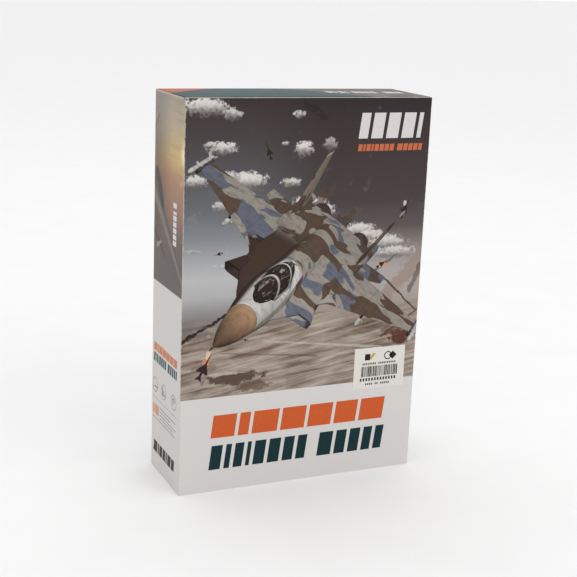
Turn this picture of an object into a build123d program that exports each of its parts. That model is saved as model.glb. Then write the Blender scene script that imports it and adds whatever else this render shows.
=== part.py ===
"""Boxed toy airplane: a tuck-top carton, a moulded tray, a die-cast jet fighter and its display stand.

Frame: origin at the middle of the carton's underside, +Z up, the printed front panel facing -Y.
The jet stands nose up in the tray with its back to the front panel. It is modelled in its own frame
(nose along +Y, up +Z, starboard +X, origin at the nozzles on the centreline) and then placed.
All sizes are in millimetres.
"""

import math
import os

from build123d import *

# ---------------------------------------------------------------- driving sizes
CARTON_W, CARTON_D, CARTON_H = 176.0, 60.0, 266.0
BOARD = 0.6
GAP = 0.1

LABEL_W, LABEL_H, LABEL_T = 40.0, 30.0, 0.1
LABEL_X, LABEL_Z = 59.8, 76.8

TUCK_LENGTH, TUCK_LEAN = 13.0, 8.0
DUST_LENGTH = 40.0
BOTTOM_TUCK = 12.0

TRAY_T = 0.7
TRAY_FRONT_Y, TRAY_DEPTH, TRAY_DRAFT = -25.5, 54.0, 3.0
TRAY_RIM = 3.0
TRAY_BOTTOM_Z, TRAY_SHOULDER_Z, TRAY_TOP_Z = 1.6, 148.0, 251.0
TRAY_HALF_W, TRAY_TOP_HALF_W = 85.5, 43.0
TRAY_RAMP_Y, TRAY_RAMP_LOW_Z = 8.0, 210.0

JET_Y, JET_Z = 3.6, 16.0
JET_WALL = 1.3
NOSE_TIP, NOSE_BASE, NOSE_R, NOSE_DROOP = 222.0, 184.0, 7.2, -1.0
NACELLE_X, NACELLE_Z = 14.5, -5.5
INTAKE_BACK, NOZZLE_FRONT = 128.0, 22.0
BOOM_X = 24.6
PARTING_Z = -1.0
COCKPIT_REAR, WINDSCREEN_Y, COCKPIT_FRONT = 131.8, 160.5, 169.0
DOME_CENTRE, DOME_AXES, DOME_T = (0.0, 150.0, 5.0), (6.4, 22.0, 8.5), 0.8
SILL_Z, TUB_HALF_W = 5.4, 5.2
HINGE_Y, HINGE_Z, HINGE_PIN_R = 131.0, 10.2, 0.35
GROUND_Z = -23.8
MAIN_WHEEL = dict(y=72.0, x=19.0, radius=4.6, width=3.0, top=-12.0)
NOSE_WHEEL = dict(y=147.0, x=0.0, radius=3.6, width=2.6, top=-8.2)
LEGS = ((MAIN_WHEEL, 1), (MAIN_WHEEL, -1), (NOSE_WHEEL, 1))
LEG_R = 1.25
AXLE_R, AXLE_CLEARANCE = 0.7, 0.08
STAB_ROOT_X, STAB_PIVOT_Y, STAB_PIN_R = 28.0, 22.0, 1.1

WING_TIP_X, RAIL_W, PYLON_X, PYLON_FOOT_Z = 74.5, 1.5, 46.0, -5.1
MISSILE_R, MISSILE_LENGTH = 1.25, 36.0
SCREW_SEATS = {118.0: -8.5, 48.0: -5.4}

STAND_X, STAND_Z, STAND_R, STAND_T = -39.0, 171.0, 18.0, 2.6
STAND_Y = 21.6
STRAP_HALF_W, STRAP_JET_Y, STRAP_TOP, STRAP_T, STRAP_W = 26.0, 122.0, 10.4, 0.5, 5.0
ARM_LENGTH, ARM_W, ARM_T, ARM_PIN_R = 32.0, 6.0, 3.0, 0.9
ARM_PIN_Y, ARM_PIN_Z = STAND_Y - STAND_T - 2.4, -12.0

parts = {}


# ---------------------------------------------------------------- shared helpers
def block(x0, x1, y0, y1, z0, z1):
    """A box between two corners."""
    return Pos((x0 + x1) / 2, (y0 + y1) / 2, (z0 + z1) / 2) * Box(x1 - x0, y1 - y0, z1 - z0)


def rod(start, end, radius):
    """A round bar between two points."""
    axis = Vector(*end) - Vector(*start)
    plane = Plane(origin=start, z_dir=axis)
    return extrude(plane * Circle(radius), axis.length)


def solids_of(shape):
    """One compound of a shape's solids, without slivers."""
    return Compound(children=[s for s in shape.solids() if s.volume > 0.05])


def export(name, shape, placed=True):
    """Keeps a part for writing; jet parts are first moved into the carton."""
    if placed:
        shape = Pos(0, JET_Y, JET_Z) * Rot(90, 0, 0) * shape
    parts[name] = shape


# ---------------------------------------------------------------- carton
def front_panel():
    panel = block(-CARTON_W / 2, CARTON_W / 2, -CARTON_D / 2, -CARTON_D / 2 + BOARD, 0, CARTON_H)
    outer = panel.edges().filter_by(Axis.Z).group_by(Axis.Y)[0]
    return fillet(outer, BOARD * 0.8)


def back_panel():
    top = CARTON_H - BOARD - 2 * GAP
    panel = block(-CARTON_W / 2, CARTON_W / 2, CARTON_D / 2 - BOARD, CARTON_D / 2, 0, top)
    outer = panel.edges().filter_by(Axis.Z).group_by(Axis.Y)[-1]
    return fillet(outer, BOARD * 0.8)


def side_panel(side):
    top = CARTON_H - 2 * BOARD - 2 * GAP
    inner_y = CARTON_D / 2 - BOARD
    edge = side * CARTON_W / 2
    low, high = sorted((edge, edge - side * BOARD))
    return block(low, high, -inner_y, inner_y, 0, top)


def glue_flap():
    """The flap glued inside the back panel, beside the right panel."""
    back = CARTON_D / 2 - BOARD
    right = CARTON_W / 2 - BOARD
    return block(right - 15, right, back - BOARD, back, 6, CARTON_H - 8)


def bottom_panel():
    half_x, half_y = CARTON_W / 2 - BOARD, CARTON_D / 2 - BOARD
    return block(-half_x, half_x, -half_y, half_y, 0, BOARD)


def bottom_tuck():
    half_x, front = CARTON_W / 2 - BOARD - 3, -CARTON_D / 2 + BOARD
    return block(-half_x, half_x, front, front + BOARD, BOARD, BOARD + BOTTOM_TUCK)


def bottom_dust(side):
    edge = side * (CARTON_W / 2 - BOARD)
    low, high = sorted((edge, edge - side * DUST_LENGTH))
    return block(low, high, -CARTON_D / 2 + 3 * BOARD, CARTON_D / 2 - 3 * BOARD, BOARD, 2 * BOARD)


def lid():
    """The top panel, creased to the back panel's top edge."""
    half_x, front = CARTON_W / 2 - GAP, -CARTON_D / 2 + BOARD + GAP
    panel = block(-half_x, half_x, front, CARTON_D / 2, CARTON_H - BOARD, CARTON_H)
    return fillet(panel.edges().filter_by(Axis.X).group_by(Axis.Y)[0].group_by(Axis.Z)[-1], BOARD / 2)


def lid_tuck():
    """The tuck flap: a strip with rounded lower corners that leans back from the front panel."""
    half_x = CARTON_W / 2 - 2.5
    outline = RectangleRounded(2 * half_x, 2 * TUCK_LENGTH, 8) & Pos(0, -TUCK_LENGTH) * Rectangle(
        2 * half_x, 2 * TUCK_LENGTH
    )
    strip = extrude(Plane.XZ * outline, -BOARD)
    crease = Pos(0, -CARTON_D / 2 + BOARD + 2 * GAP, CARTON_H - BOARD - 1.5 * GAP)
    return crease * Rot(TUCK_LEAN, 0, 0) * strip


def dust_flap(side):
    """A side flap under the lid, tapered so that it clears the rising lid."""
    root, tip = side * CARTON_W / 2, side * (CARTON_W / 2 - DUST_LENGTH)
    front, back = -CARTON_D / 2 + 3, CARTON_D / 2 - 2
    outline = Polyline((root, front), (tip, front + 7), (tip, back - 21), (root, back), close=True)
    low = CARTON_H - 2 * BOARD - GAP
    return extrude(Pos(0, 0, low) * make_face(outline), BOARD)


def price_label():
    front = -CARTON_D / 2
    return block(
        LABEL_X - LABEL_W / 2, LABEL_X + LABEL_W / 2, front - LABEL_T, front,
        LABEL_Z - LABEL_H / 2, LABEL_Z + LABEL_H / 2,
    )


# ---------------------------------------------------------------- tray
def tray_outline(inset):
    """Front view of the tray: a rectangle whose top corners slope in beside the jet's nose."""
    slope = math.atan2(TRAY_HALF_W - TRAY_TOP_HALF_W, TRAY_TOP_Z - TRAY_SHOULDER_Z)
    wide = TRAY_HALF_W - inset
    narrow = TRAY_TOP_HALF_W - inset / math.cos(slope) + inset * math.tan(slope)
    shoulder = TRAY_SHOULDER_Z - inset * math.tan(slope / 2)
    bottom, top = TRAY_BOTTOM_Z + inset, TRAY_TOP_Z - inset
    return Polyline(
        (-wide, bottom), (wide, bottom), (wide, shoulder),
        (narrow, top), (-narrow, top), (-wide, shoulder), close=True,
    )


def tray_body(inset, front, back):
    """A dished volume that narrows towards the back."""
    faces = []
    for y in (front, back):
        narrowing = inset + (y - TRAY_FRONT_Y) * math.tan(math.radians(TRAY_DRAFT))
        plane = Plane(origin=(0, y, 0), x_dir=(1, 0, 0), z_dir=(0, -1, 0))
        faces.append(plane * make_face(tray_outline(narrowing)))
    return loft(faces, ruled=True)


def ramp_wedge(lift):
    """The corner above the ramp, raised by a distance along the ramp's normal."""
    back = TRAY_FRONT_Y + TRAY_DEPTH
    run, rise = back - TRAY_RAMP_Y, TRAY_TOP_Z - TRAY_RAMP_LOW_Z
    length = math.hypot(run, rise)
    y_shift, z_shift = rise / length * lift, run / length * lift
    corner = Polyline(
        (TRAY_RAMP_Y - y_shift - run, TRAY_TOP_Z - z_shift + rise),
        (back - y_shift + run, TRAY_RAMP_LOW_Z - z_shift - rise),
        (back + 2 * run, TRAY_TOP_Z + 2 * rise), close=True,
    )
    return extrude(Plane.YZ * make_face(corner), CARTON_W, both=True)


def tray():
    """Thermoformed dish with a rim, two saddles under the jet, a stand boss and two wing rests."""
    front, back = TRAY_FRONT_Y, TRAY_FRONT_Y + TRAY_DEPTH
    rim_plane = Plane(origin=(0, front, 0), x_dir=(1, 0, 0), z_dir=(0, -1, 0))
    rim = extrude(rim_plane * make_face(tray_outline(0)), -TRAY_T)
    outer = tray_body(TRAY_RIM, front, back) - ramp_wedge(0)
    inner = tray_body(TRAY_RIM + TRAY_T, front - 1, back - TRAY_T) - ramp_wedge(TRAY_T)
    ridges, hollows = [], []
    for half_x, x, top_y, half_z, z in tray_ridges():
        for made, t in ((ridges, 0.0), (hollows, TRAY_T)):
            made.append(block(x - half_x + t, x + half_x - t, top_y + t, back + 5,
                              z - half_z + t, z + half_z - t))
    for ridge, hollow in zip(ridges, hollows):
        inner -= ridge
        outer -= hollow
    return (rim + outer) - inner


def jet_strap():
    """A band over the jet's back, welded to the middle saddle."""
    top, foot, z = JET_Y - STRAP_TOP, JET_Y + 13.4, JET_Z + STRAP_JET_Y
    outline = Polyline((-STRAP_HALF_W, foot), (-STRAP_HALF_W, 0), (-12, top), (12, top),
                       (STRAP_HALF_W, 0), (STRAP_HALF_W, foot))
    inner = offset(outline, STRAP_T, side=Side.LEFT, closed=True)
    return extrude(Pos(0, 0, z - STRAP_W / 2) * make_face(inner), STRAP_W)


def tray_ridges():
    """Half width, x, front y, half height and z of each formed ridge."""
    saddles = [
        (8.0, 0.0, JET_Y + 8.6, 3.0, JET_Z + 178),
        (STRAP_HALF_W + 2, 0.0, JET_Y + 13.4, 4.0, JET_Z + STRAP_JET_Y),
        (24.0, 0.0, JET_Y + 13.0, 3.0, JET_Z + 38),
    ]
    boss = [(8.0, STAND_X, STAND_Y, 8.0, STAND_Z)]
    wing_rests = [(4.0, s * 54.0, JET_Y + 2.0, 6.0, JET_Z + 66) for s in (-1, 1)]
    return saddles + boss + wing_rests


# ---------------------------------------------------------------- jet hull
def ellipse_at(y, rx, rz, z=0.0, x=0.0):
    """An elliptical section across the jet."""
    return Plane(origin=(x, y, z), x_dir=(1, 0, 0), z_dir=(0, -1, 0)) * Ellipse(rx, rz)


def core_hull(inset):
    """Forward fuselage and spine."""
    stations = (
        (NOSE_BASE, 7.2, 7.2, NOSE_DROOP), (158, 8.4, 8.7, -0.5), (131, 9.2, 9.5, 0.0),
        (104, 9.9, 8.8, 0.4), (77, 9.6, 7.7, 0.5), (50, 8.2, 6.3, 0.4), (24, 5.6, 4.2, 0.0),
    )
    return loft([ellipse_at(y, rx - inset, rz - inset, z) for y, rx, rz, z in stations])


def centre_body(inset):
    """The flat lifting body between the wings, from the leading-edge strakes to the tail."""
    stations = (
        (168, 8.4, 1.4), (151, 12.6, 2.2), (134, 18.4, 3.1), (117, 23.4, 4.0), (100, 25.8, 4.5),
        (83, 26.4, 4.6), (66, 26.6, 4.4), (49, 26.6, 4.1), (32, 26.4, 3.6), (15, 26.0, 2.8),
    )
    return loft([ellipse_at(y, rx - inset, max(rz - inset, 0.35)) for y, rx, rz in stations])


def nacelle_section(y, width, height, corner, x, z, inset):
    """A rounded-rectangle section across an engine nacelle."""
    plane = Plane(origin=(x, y, z), x_dir=(1, 0, 0), z_dir=(0, -1, 0))
    return plane * RectangleRounded(width - 2 * inset, height - 2 * inset, max(corner - inset, 0.6))


def nacelle(side, inset, front=INTAKE_BACK, back=NOZZLE_FRONT):
    """The engine duct's outer shape, from a squarish front to a round back."""
    x = side * NACELLE_X
    stations = (
        (front, 15.6, 15.2, 3.4, NACELLE_Z - 0.2), (92, 15.8, 15.6, 5.5, NACELLE_Z),
        (56, 15.6, 15.6, 7.6, NACELLE_Z), (back, 14.6, 14.6, 7.2, NACELLE_Z + 0.5),
    )
    return loft([nacelle_section(y, w, h, r, x, z, inset) for y, w, h, r, z in stations])


def boom(side):
    """The tail boom outside a nozzle, which carries a fin and a stabilator."""
    stations = ((72, 4.6, 4.0, 1.6), (44, 5.6, 6.0, 2.2), (3, 5.2, 4.0, 1.8))
    return loft([nacelle_section(y, w, h, r, side * BOOM_X, 0, 0) for y, w, h, r in stations])


def hull(inset):
    """The whole fuselage's outer shape, or with an inset, the space inside its wall."""
    whole = core_hull(inset) + centre_body(inset)
    for side in (-1, 1):
        whole += nacelle(side, inset)
    return whole


def dome(grow=0.0):
    """The canopy's bubble."""
    x, y, z = DOME_CENTRE
    bubble = scale(Sphere(1.0), by=tuple(a + grow for a in DOME_AXES))
    return Pos(x, y, z) * bubble


def cockpit_hole():
    """What is cut from the hull for the cockpit and its canopy."""
    above = block(-20, 20, COCKPIT_REAR - 0.3, COCKPIT_FRONT + 6, SILL_Z - 0.15, 30)
    well = block(-TUB_HALF_W, TUB_HALF_W, 133.0, 167.5, 1.0, SILL_Z - 0.15)
    return (dome(0.25) & above) + well


def fuselage_shells(outer):
    """The die-cast upper shell and the plastic lower shell, each hollow."""
    skin = outer - hull(JET_WALL) - cockpit_hole()
    for side in (-1, 1):
        skin -= rod((side * 10, STAB_PIVOT_Y, 0), (side * 30, STAB_PIVOT_Y, 0), STAB_PIN_R + AXLE_CLEARANCE)
    upper = skin & block(-60, 60, -5, 230, PARTING_Z, 40)
    lower = skin & block(-60, 60, -5, 230, -40, PARTING_Z - 0.05)
    for y, seat in SCREW_SEATS.items():
        boss = rod((0, y, PARTING_Z), (0, y, 12), 2.4) & core_hull(0.4)
        upper += boss
        upper -= rod((0, y, PARTING_Z - 1), (0, y, 4.0), 0.8)
        lower -= rod((0, y, -20), (0, y, 0), 1.0)
        lower -= rod((0, y, -20), (0, y, seat + 0.9), 1.9)
    for spec, side in LEGS:
        x, y = side * spec["x"], spec["y"]
        lower -= rod((x, y, -20), (x, y, spec["top"]), LEG_R)
    for s in (-1, 1):
        ear = Pos(s * 2.05, HINGE_Y - 0.05, HINGE_Z - 1.0) * Box(0.9, 1.3, 3.2)
        upper += ear - hull(JET_WALL)
    upper -= rod((-4, HINGE_Y, HINGE_Z), (4, HINGE_Y, HINGE_Z), HINGE_PIN_R + 0.06)
    return upper, lower




def screws():
    """Two countersunk cross-head screws that clamp the shells together."""
    made = []
    for y, seat in SCREW_SEATS.items():
        head = rod((0, y, seat), (0, y, seat + 0.9), 1.8)
        for turn in (0, 90):
            slot = Pos(0, y, seat) * Rot(0, 0, turn) * Box(2.2, 0.5, 0.8)
            head -= slot
        made.append(head + rod((0, y, seat + 0.9), (0, y, 3.6), 0.8))
    return Compound(children=made)


def nose_cone():
    """The radome: an ogive of revolution."""
    length = NOSE_TIP - NOSE_BASE
    ogive = make_face([
        Line((0, 0), (NOSE_R, 0)),
        ThreePointArc((NOSE_R, 0), (NOSE_R * 0.66, length * 0.56), (0.5, length)),
        Line((0.5, length), (0, length)), Line((0, length), (0, 0)),
    ])
    cone = revolve(Plane.XY * ogive, Axis.Y)
    return Pos(0, NOSE_BASE, NOSE_DROOP) * cone


def pitot_probe():
    tip = NOSE_TIP + 6
    probe = rod((0, NOSE_TIP, NOSE_DROOP), (0, tip - 2.5, NOSE_DROOP), 0.5)
    return probe + rod((0, tip - 2.5, NOSE_DROOP), (0, tip, NOSE_DROOP), 0.3)


def intake(side):
    """A raked intake mouth, joined to the nacelle's front."""
    x, rake = side * NACELLE_X, 8.0
    length = 16.0

    def duct(inset, front):
        return loft([
            nacelle_section(INTAKE_BACK, 15.6, 15.2, 3.4, x, NACELLE_Z - 0.2, inset),
            nacelle_section(front, 14.8, 13.6, 2.4, x, NACELLE_Z - 0.6, inset),
        ])

    mouth = duct(0.0, INTAKE_BACK + length) - duct(0.9, INTAKE_BACK + length)
    top, bottom = NACELLE_Z + 9, NACELLE_Z - 9
    front = INTAKE_BACK + length
    cut = Polyline((front + 1, top), (front + 1, bottom), (front - rake, bottom), close=True)
    return mouth - extrude(make_face(Plane.YZ * cut), 60, both=True)


def nozzle(side):
    """An exhaust nozzle: a tapered ring of petals with a turbine hub inside."""
    outline = Polyline(
        (7.2, NOZZLE_FRONT), (6.0, NOZZLE_FRONT), (5.0, 6), (5.3, 0), (5.9, 0), (6.9, 13), close=True
    )
    ring = revolve(make_face(outline), Axis.Y)
    for k in range(12):
        groove = Rot(0, 30 * k, 0) * Pos(7.0, 7, 0) * Box(0.8, 12, 0.5)
        ring -= groove
    hub = revolve(
        make_face(Polyline((0, NOZZLE_FRONT), (6.1, NOZZLE_FRONT), (6.1, NOZZLE_FRONT - 1.2),
                           (2.2, NOZZLE_FRONT - 1.2), (0, NOZZLE_FRONT - 6), close=True)), Axis.Y)
    return Pos(side * NACELLE_X, 0, NACELLE_Z + 0.5) * (ring + hub)


# ---------------------------------------------------------------- wings and tail
def blade(root, root_dir, root_chord, root_t, tip, tip_chord, tip_t):
    """A lofted aerofoil panel. Root and tip are the leading edges; chords run along -Y."""
    span = Vector(*root_dir).normalized()

    def section(lead, chord, thick):
        plane = Plane(origin=lead, x_dir=(0, -1, 0), z_dir=span)
        top = ThreePointArc((0, 0), (chord * 0.4, thick / 2), (chord, 0))
        under = ThreePointArc((chord, 0), (chord * 0.4, -thick / 2), (0, 0))
        return plane * make_face([top, under])

    return loft([section(root, root_chord, root_t), section(tip, tip_chord, tip_t)])


def wing(side, hull_shape):
    panel = blade((side * 22, 116, 0.6), (side, 0, 0), 66, 3.6, (side * WING_TIP_X, 69, -1.2), 17, 1.6)
    return largest(panel - hull_shape)


def fin(side, hull_shape):
    lean = (side * math.sin(math.radians(8)), 0, math.cos(math.radians(8)))
    root = (side * 23.8, 54, 1.0)
    height = 29.0
    tip = (root[0] + lean[0] * height, 25, root[2] + lean[2] * height)
    panel = blade(root, lean, 41, 2.6, tip, 17, 1.1)
    return largest(panel - hull_shape)


def stabilator(side):
    """An all-moving tailplane on its pivot pin."""
    panel = blade((side * STAB_ROOT_X, 40, 0), (side, 0, 0), 34, 2.4, (side * 54, 17, 0), 13, 1.0)
    pin = rod((side * 21.5, STAB_PIVOT_Y, 0), (side * (STAB_ROOT_X + 4), STAB_PIVOT_Y, 0), STAB_PIN_R)
    return panel + pin


def largest(shape):
    return max(shape.solids(), key=lambda s: s.volume)


# ---------------------------------------------------------------- cockpit
def canopy_parts():
    """The fixed windscreen, the hinged canopy's glass and its frame."""
    skin = dome() - dome(-DOME_T)
    windscreen = skin & block(-10, 10, WINDSCREEN_Y + 0.4, 200, SILL_Z - 0.15, 30)
    moving = skin & block(-10, 10, COCKPIT_REAR, WINDSCREEN_Y, SILL_Z, 30)
    bars = block(-10, 10, COCKPIT_REAR, WINDSCREEN_Y, SILL_Z, SILL_Z + 1.3)
    for y in (COCKPIT_REAR, 146.5, WINDSCREEN_Y - 1.4):
        bars += block(-10, 10, y, y + 1.4, SILL_Z, 30)
    frame = moving & bars
    frame += block(-1.4, 1.4, HINGE_Y - 0.45, COCKPIT_REAR + 0.6, HINGE_Z - 0.45, HINGE_Z + 0.45)
    frame += rod((-2.5, HINGE_Y, HINGE_Z), (2.5, HINGE_Y, HINGE_Z), HINGE_PIN_R)
    return windscreen, solids_of(moving - bars - frame), frame


def cockpit_tub():
    """The two-seat tub, pressed between the cockpit sills, with an instrument panel to each seat."""
    floor, top = 1.8, SILL_Z - 0.15
    tub = block(-TUB_HALF_W, TUB_HALF_W, 133.4, 167.0, floor - 0.8, top)
    for y0, y1 in ((134.2, 148.6), (149.8, 166.2)):
        tub -= block(-4.3, 4.3, y0, y1, floor, 8)
    for y, half_w, panel_top in ((162.6, 3.6, 6.6), (147.4, 4.3, 8.0)):
        tub += block(-half_w, half_w, y, y + 1.2, floor, panel_top)
    return tub


def seat(y):
    """An ejection seat: pan, leaning back rest and headrest."""
    pan = block(-2.2, 2.2, y - 1, y + 5, 1.8, 3.4)
    rest = Pos(0, y - 1.6, 5.4) * Rot(12, 0, 0) * Box(4.2, 1.6, 6.6)
    head = Pos(0, y - 2.2, 8.8) * Rot(12, 0, 0) * Box(2.6, 1.8, 2.0)
    rest &= block(-5, 5, y - 4, y + 4, 1.8, 20)
    return pan + rest + head


# ---------------------------------------------------------------- stores
def missile(x, y, z):
    """A slim missile: ogive nose, body, four mid fins and four tail fins."""
    length, r = MISSILE_LENGTH, MISSILE_R
    outline = make_face([
        Line((0, 0), (r, 0)), Line((r, 0), (r, length - 5)),
        ThreePointArc((r, length - 5), (r * 0.78, length - 2.2), (0.3, length)),
        Line((0.3, length), (0, length)), Line((0, length), (0, 0)),
    ])
    body = revolve(outline, Axis.Y)
    for turn in (45, 135):
        body += Rot(0, turn, 0) * Pos(0, 2.4, 0) * Box(6.4, 4.4, 0.45)
        body += Rot(0, turn, 0) * Pos(0, 22, 0) * Box(4.8, 3.2, 0.45)
    return Pos(x, y, z) * body




def pylons(side, wing_shape):
    """The underwing pylon and the wingtip rail of one wing."""
    x = side * PYLON_X
    under = block(x - 0.7, x + 0.7, 69, 87, PYLON_FOOT_Z, 0.3)
    low, high = sorted((side * WING_TIP_X, side * (WING_TIP_X + RAIL_W)))
    rail = block(low, high, 50, 74, -2.1, -0.3)
    return Compound(children=[largest(under - wing_shape), largest(rail - wing_shape)])


# ---------------------------------------------------------------- landing gear
def wheel_parts(spec, side):
    """Tyre and hub of one wheel, on an axle along X."""
    x, y, r, w = side * spec["x"], spec["y"], spec["radius"], spec["width"]
    z = GROUND_Z + r
    bore = AXLE_R + AXLE_CLEARANCE
    rim = r * 0.62
    tyre_profile = Pos((r + rim) / 2, 0) * RectangleRounded(r - rim, w, (r - rim) * 0.45)
    tyre = revolve(tyre_profile, Axis.Y)
    hub_outline = make_face(Polyline(
        (bore, -w * 0.42), (bore + 0.7, -w * 0.42), (rim * 0.72, -w * 0.2), (rim, -w * 0.3),
        (rim, w * 0.3), (rim * 0.72, w * 0.2), (bore + 0.7, w * 0.42), (bore, w * 0.42), close=True))
    hub = revolve(hub_outline, Axis.Y)
    place = Pos(x, y, z) * Rot(0, 0, 90)
    return place * (tyre - hub), place * hub


def gear_leg(spec, side):
    """A leg with a two-sided fork that carries the axle."""
    x, y, w = side * spec["x"], spec["y"], spec["width"]
    z = GROUND_Z + spec["radius"]
    reach = spec["radius"] + 0.5
    half = w / 2 + 0.35
    leg = rod((x, y, z + reach), (x, y, spec["top"]), LEG_R)
    leg += block(x - half - 0.9, x + half + 0.9, y - 1.1, y + 1.1, z + reach - 0.1, z + reach + 0.6)
    for s in (-1, 1):
        inner = x + s * half
        low, high = sorted((inner, inner + s * 0.9))
        leg += block(low, high, y - 1.1, y + 1.1, z - 1.2, z + reach + 0.1)
    return leg - rod((x - 5, y, z), (x + 5, y, z), AXLE_R)


def axle(spec, side):
    x, y, z = side * spec["x"], spec["y"], GROUND_Z + spec["radius"]
    half = spec["width"] / 2 + 1.25
    return rod((x - half, y, z), (x + half, y, z), AXLE_R)


def gear_doors(hull_shape):
    """Open bay doors beside the three legs."""
    main_y, nose_y = MAIN_WHEEL["y"], NOSE_WHEEL["y"]
    doors = [block(s * 3.4 - 0.3, s * 3.4 + 0.3, nose_y - 6, nose_y + 6, -14.5, -7.0) for s in (-1, 1)]
    for s in (-1, 1):
        x = s * (MAIN_WHEEL["x"] + 4.4)
        doors.append(block(x - 0.35, x + 0.35, main_y - 7, main_y + 7, -14.0, 0.0))
    return Compound(children=[largest(d - hull_shape) for d in doors])


# ---------------------------------------------------------------- stand
def stand_base():
    """A round base with two ears for the arm's pin, stored flat against the tray's boss."""
    disc = extrude(Plane.XZ.offset(-STAND_Y) * Circle(STAND_R), STAND_T)
    disc = fillet(disc.edges().group_by(Axis.Y)[0], 1.0)
    disc -= extrude(Plane.XZ.offset(-STAND_Y) * Circle(STAND_R - 4), 0.8)
    for s in (-1, 1):
        ear = Pos(s * (ARM_W / 2 + 1.3), ARM_PIN_Y + 1.2, ARM_PIN_Z) * Box(2.0, 4.8, 5.0)
        disc += ear
    disc -= rod((-8, ARM_PIN_Y, ARM_PIN_Z), (8, ARM_PIN_Y, ARM_PIN_Z), ARM_PIN_R)
    return Pos(STAND_X, 0, STAND_Z) * disc


def stand_arm():
    """The arm that holds the jet, folded against the base, with a forked saddle at its end."""
    arm = Pos(0, ARM_PIN_Y, ARM_PIN_Z + ARM_LENGTH / 2 + 1) * Box(ARM_W, ARM_T, ARM_LENGTH - 2)
    arm += rod((-ARM_W / 2, ARM_PIN_Y, ARM_PIN_Z), (ARM_W / 2, ARM_PIN_Y, ARM_PIN_Z), 2.0)
    arm += block(-ARM_W / 2, ARM_W / 2, ARM_PIN_Y - 1.5, ARM_PIN_Y + 1.5, ARM_PIN_Z, ARM_PIN_Z + 3)
    saddle = Pos(0, ARM_PIN_Y, ARM_PIN_Z + ARM_LENGTH) * Box(13.0, ARM_T, 4.0)
    fork_z = ARM_PIN_Z + ARM_LENGTH + 4
    saddle -= rod((0, ARM_PIN_Y - 3, fork_z), (0, ARM_PIN_Y + 3, fork_z), 4.2)
    arm += saddle
    arm -= rod((-8, ARM_PIN_Y, ARM_PIN_Z), (8, ARM_PIN_Y, ARM_PIN_Z), ARM_PIN_R + AXLE_CLEARANCE)
    return Pos(STAND_X, 0, STAND_Z) * arm


def stand_pin():
    return Pos(STAND_X, 0, STAND_Z) * rod((-5.3, ARM_PIN_Y, ARM_PIN_Z), (5.3, ARM_PIN_Y, ARM_PIN_Z), ARM_PIN_R)


# ---------------------------------------------------------------- build
def build_carton():
    export("front_panel", front_panel(), placed=False)
    export("back_panel", back_panel(), placed=False)
    for name, side in (("right", 1), ("left", -1)):
        export(f"{name}_panel", side_panel(side), placed=False)
        export(f"bottom_dust_flap_{name}", bottom_dust(side), placed=False)
        export(f"dust_flap_{name}", dust_flap(side), placed=False)
    export("glue_flap", glue_flap(), placed=False)
    export("bottom_panel", bottom_panel(), placed=False)
    export("bottom_tuck_flap", bottom_tuck(), placed=False)
    export("lid_panel", lid(), placed=False)
    export("lid_tuck_flap", lid_tuck(), placed=False)
    export("price_label", price_label(), placed=False)


def build_jet():
    solid_hull = hull(0.0) + boom(1) + boom(-1)
    upper, lower = fuselage_shells(solid_hull)
    export("fuselage_upper", solids_of(upper))
    export("fuselage_lower", solids_of(lower))
    export("fuselage_screws", screws())
    export("nose_cone", nose_cone())
    export("pitot_probe", pitot_probe())
    windscreen, glass, frame = canopy_parts()
    export("windscreen", windscreen)
    export("canopy_glass", glass)
    export("canopy_frame", frame)
    export("cockpit_tub", cockpit_tub())
    export("seat_front", seat(154.0))
    export("seat_rear", seat(139.0))
    for name, side in (("right", 1), ("left", -1)):
        wing_shape = wing(side, solid_hull)
        export(f"wing_{name}", wing_shape)
        export(f"fin_{name}", fin(side, solid_hull))
        export(f"stabilator_{name}", stabilator(side))
        export(f"intake_{name}", largest(intake(side) - solid_hull))
        export(f"nozzle_{name}", largest(nozzle(side) - solid_hull))
        export(f"pylons_{name}", pylons(side, wing_shape))
        export(f"missile_inner_{name}", missile(side * PYLON_X, 60, PYLON_FOOT_Z - MISSILE_R))
        export(f"missile_tip_{name}", missile(side * (WING_TIP_X + RAIL_W + MISSILE_R), 46, -1.2))
        tyre, hub = wheel_parts(MAIN_WHEEL, side)
        export(f"main_tyre_{name}", tyre)
        export(f"main_hub_{name}", hub)
        export(f"main_leg_{name}", gear_leg(MAIN_WHEEL, side))
    tyre, hub = wheel_parts(NOSE_WHEEL, 1)
    export("nose_tyre", tyre)
    export("nose_hub", hub)
    export("nose_leg", gear_leg(NOSE_WHEEL, 1))
    export("wheel_axles", Compound(children=[axle(spec, side) for spec, side in LEGS]))
    export("gear_doors", gear_doors(solid_hull))


def build_tray():
    export("tray", tray(), placed=False)
    export("jet_strap", jet_strap(), placed=False)
    export("stand_base", stand_base(), placed=False)
    export("stand_arm", stand_arm(), placed=False)
    export("stand_pin", stand_pin(), placed=False)


def write_parts():
    os.makedirs("parts", exist_ok=True)
    for name, shape in parts.items():
        export_step(shape, f"parts/{name}.step")


build_carton()
build_jet()
build_tray()
write_parts()
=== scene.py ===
import math
import random

import bpy
import numpy as np
from mathutils import Euler, Matrix, Vector


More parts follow.
